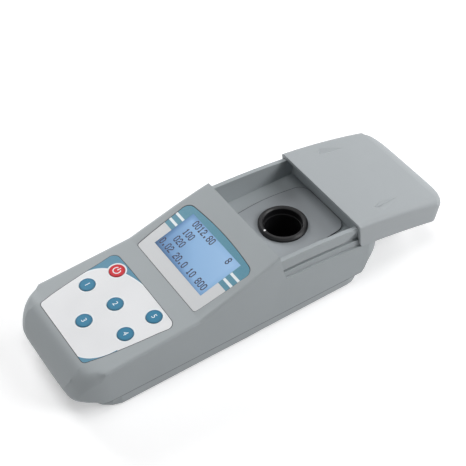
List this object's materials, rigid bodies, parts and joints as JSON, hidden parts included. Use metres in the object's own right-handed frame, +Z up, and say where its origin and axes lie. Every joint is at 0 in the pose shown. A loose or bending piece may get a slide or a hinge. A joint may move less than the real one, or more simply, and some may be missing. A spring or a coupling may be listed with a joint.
{
  "type": "turbidity meter",
  "caption": "Handheld turbidity meter: wedge-shaped case with display and keypad, and a lid that slides back along arched rails to uncover the round sample well",
  "frame": {"origin": "middle of the plane that the four rubber feet stand on, between the left and right sides", "axes": "+X to the user's right, +Y from the keypad to the lid end, +Z up from the table"},
  "size_m": [0.0892, 0.2935, 0.0601],
  "materials": {
    "grey_housing": "finely textured moulded plastic",
    "black_plastic": "matt black moulded plastic",
    "dark_plastic": "smooth dark plastic",
    "clear_plastic": "clear moulded plastic",
    "circuit_board": "lacquered circuit board",
    "steel": "plated steel",
    "display": "display glass",
    "white_plastic": "white light guide",
    "black_foam": "soft foam",
    "printed_label": "semi-gloss printed label",
    "clear_window": "clear window over the display",
    "silver_overlay": "satin printed overlay",
    "red_key": "satin key cap",
    "teal_key": "satin key cap",
    "cell_jacket": "printed film jacket",
    "rubber": "matt rubber"
  },
  "bodies": {
    "meter": {"upper_housing": "grey_housing", "lower_housing": "grey_housing", "well_platform": "grey_housing", "well_collar": "black_plastic", "cell_holder": "black_plastic", "lamp": "clear_plastic", "lamp_lens": "clear_plastic", "lamp_board": "circuit_board", "scatter_detector": "dark_plastic", "detector_board": "circuit_board", "optics_screws": "steel", "main_board": "circuit_board", "board_parts": "black_plastic", "board_screws": "steel", "lcd_frame": "steel", "lcd_glass": "display", "lcd_backlight": "white_plastic", "lcd_board": "circuit_board", "display_gasket": "black_foam", "display_label": "printed_label", "display_window": "clear_window", "keypad_overlay": "silver_overlay", "keypad_circuit": "circuit_board", "key_domes": "steel", "batteries": "cell_jacket", "battery_springs": "steel", "battery_plates": "steel", "housing_screws": "steel", "feet": "rubber"},
    "lid": {"sliding_lid": "grey_housing"},
    "key_power_cap": {"key_power": "red_key"},
    "key_rear_right_cap": {"key_rear_right": "teal_key"},
    "key_left_cap": {"key_left": "teal_key"},
    "key_right_cap": {"key_right": "teal_key"},
    "key_centre_cap": {"key_centre": "teal_key"},
    "key_front_cap": {"key_front": "teal_key"},
    "door": {"battery_door": "grey_housing"}
  },
  "joints": [
    {"name": "lid_track", "type": "hinge", "parent": "meter", "child": "lid", "pos_m": [0, 0.022, -0.5856], "axis": [-1, 0, 0], "range_deg": [-5.5, 0]},
    {"name": "key_power_press", "type": "slide", "parent": "meter", "child": "key_power_cap", "axis": [0, 0.0645, -0.9979], "range_m": [0, 0.0004], "stiffness_N_per_m": 600},
    {"name": "key_rear_right_press", "type": "slide", "parent": "meter", "child": "key_rear_right_cap", "axis": [0, 0.0645, -0.9979], "range_m": [0, 0.0004], "stiffness_N_per_m": 600},
    {"name": "key_left_press", "type": "slide", "parent": "meter", "child": "key_left_cap", "axis": [0, 0.0645, -0.9979], "range_m": [0, 0.0004], "stiffness_N_per_m": 600},
    {"name": "key_right_press", "type": "slide", "parent": "meter", "child": "key_right_cap", "axis": [0, 0.0645, -0.9979], "range_m": [0, 0.0004], "stiffness_N_per_m": 600},
    {"name": "key_centre_press", "type": "slide", "parent": "meter", "child": "key_centre_cap", "axis": [0, 0.0645, -0.9979], "range_m": [0, 0.0004], "stiffness_N_per_m": 600},
    {"name": "key_front_press", "type": "slide", "parent": "meter", "child": "key_front_cap", "axis": [0, 0.0645, -0.9979], "range_m": [0, 0.0004], "stiffness_N_per_m": 600},
    {"name": "door_lift", "type": "slide", "parent": "meter", "child": "door", "axis": [0, 0, -1], "range_m": [0, 0.03]}
  ]
}
